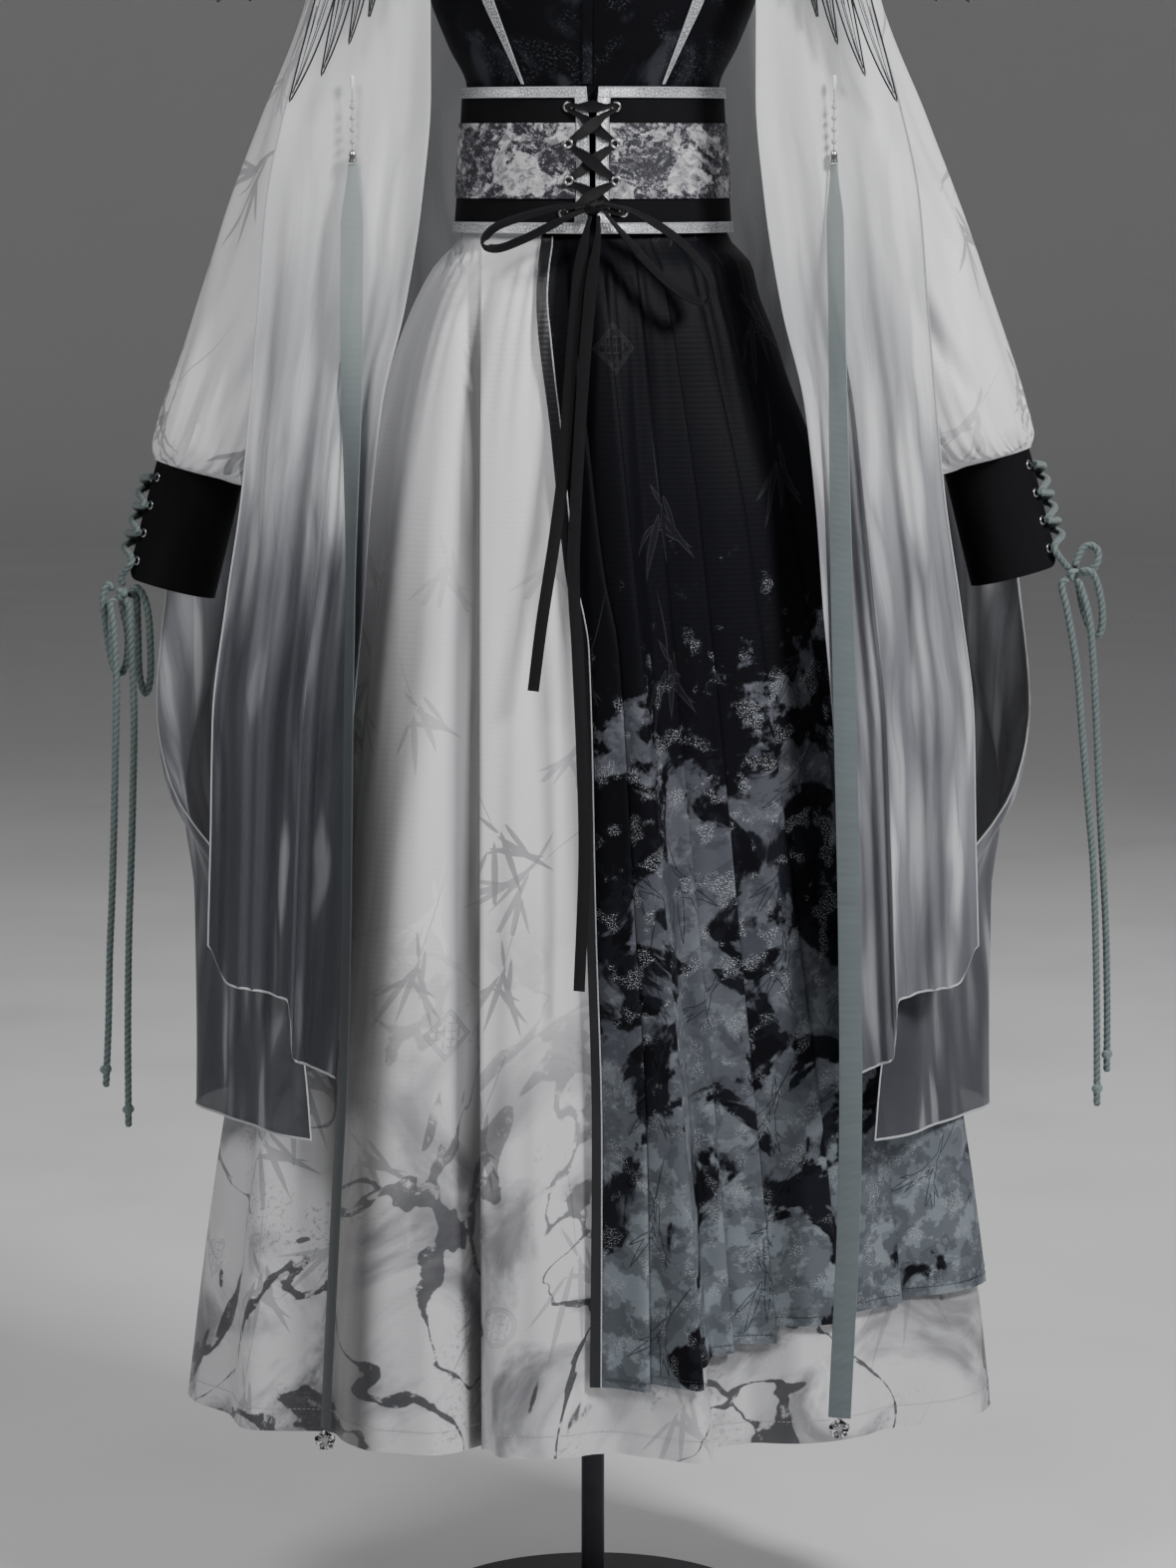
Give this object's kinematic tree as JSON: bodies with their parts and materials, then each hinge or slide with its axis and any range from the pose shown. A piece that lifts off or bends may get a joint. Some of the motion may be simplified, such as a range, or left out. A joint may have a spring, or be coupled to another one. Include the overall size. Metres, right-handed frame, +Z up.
{
  "type": "hanfu lolita dress set on a limbless dress form with a round stand",
  "caption": "Black and white hanfu style gown with a laced waist corset, a shaded sheer cape and laced cuffs, on a limbless dress form and round stand",
  "frame": {"origin": "centre of the stand's underside, on the floor", "axes": "+Z up, the gown faces -Y, +X to the right as seen from the front"},
  "size_m": [0.8209, 0.4486, 1.6555],
  "materials": {
    "dark_metal": "satin",
    "form_cover": "woven linen",
    "black_satin": "satin with a tonal bamboo jacquard",
    "silver_braid": "glitter braid",
    "velvet": "velvet pile",
    "jacquard": "mottled jacquard",
    "steel": "polished",
    "lace": "satin ribbon",
    "white_satin": "satin with a tonal bamboo jacquard",
    "sheer": "chiffon, shaded from pale grey to charcoal",
    "organza": "organza with dark feather stitching",
    "pearl": "pearl",
    "sage_ribbon": "grosgrain",
    "sage_cord": "twisted cord"
  },
  "bodies": {
    "root": {"beads_left": "pearl", "beads_right": "pearl", "bodice_back": "black_satin", "bodice_band_left": "silver_braid", "bodice_band_right": "silver_braid", "bodice_front_left": "black_satin", "bodice_front_right": "black_satin", "cape_back": "sheer", "cape_front_left": "sheer", "cape_front_right": "sheer", "collar": "black_satin", "corset_border_left": "silver_braid", "corset_border_right": "silver_braid", "corset_eyelet_left_1": "steel", "corset_eyelet_left_2": "steel", "corset_eyelet_left_3": "steel", "corset_eyelet_left_4": "steel", "corset_eyelet_right_1": "steel", "corset_eyelet_right_2": "steel", "corset_eyelet_right_3": "steel", "corset_eyelet_right_4": "steel", "corset_jacquard_left": "jacquard", "corset_jacquard_right": "jacquard", "corset_lace": "lace", "corset_left": "velvet", "corset_right": "velvet", "cuff_knot_left": "sage_cord", "cuff_knot_right": "sage_cord", "cuff_lacing_left": "sage_cord", "cuff_lacing_right": "sage_cord", "cuff_left": "velvet", "cuff_loop_left_a": "sage_cord", "cuff_loop_left_b": "sage_cord", "cuff_loop_right_a": "sage_cord", "cuff_loop_right_b": "sage_cord", "cuff_right": "velvet", "cuff_tail_left_a": "sage_cord", "cuff_tail_left_b": "sage_cord", "cuff_tail_right_a": "sage_cord", "cuff_tail_right_b": "sage_cord", "feather_left": "organza", "feather_right": "organza", "form_torso": "form_cover", "lace_knot": "lace", "lace_loop_left": "lace", "lace_loop_right": "lace", "lace_tail_left": "lace", "lace_tail_right": "lace", "pendant_left": "steel", "pendant_right": "steel", "placket": "black_satin", "ribbon_left": "sage_ribbon", "ribbon_right": "sage_ribbon", "skirt_black": "black_satin", "skirt_edging": "silver_braid", "skirt_white": "white_satin", "sleeve_left": "white_satin", "sleeve_right": "white_satin", "stand_base": "dark_metal", "stand_pole": "dark_metal"}
  },
  "joints": []
}
